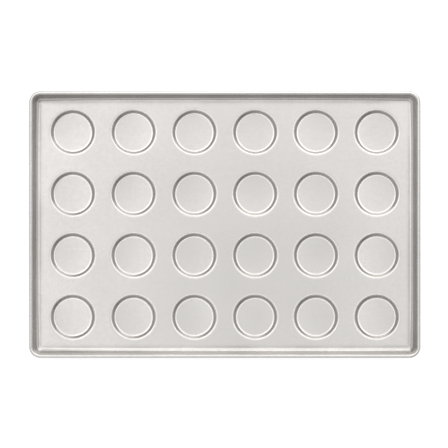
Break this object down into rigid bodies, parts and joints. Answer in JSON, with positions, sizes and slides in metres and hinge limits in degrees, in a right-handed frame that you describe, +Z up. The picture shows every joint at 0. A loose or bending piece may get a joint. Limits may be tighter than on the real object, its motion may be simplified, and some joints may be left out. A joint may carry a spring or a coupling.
{
  "type": "hamburger bun tray",
  "caption": "Rectangular baking tray of bright drawn sheet with a grid of shallow round cups, sloping low walls and a rolled rim over a wire, for baking hamburger buns.",
  "frame": {"origin": "middle of the plane that the cup undersides stand on", "axes": "+X along the long side, +Y to the back, +Z up out of the cups"},
  "size_m": [0.657, 0.4478, 0.0355],
  "materials": {
    "tray_steel": "bright aluminised sheet with a fine satin",
    "wire_steel": "drawn galvanised wire"
  },
  "bodies": {
    "root": {"tray_sheet": "tray_steel", "rim_wire": "wire_steel"}
  },
  "joints": []
}
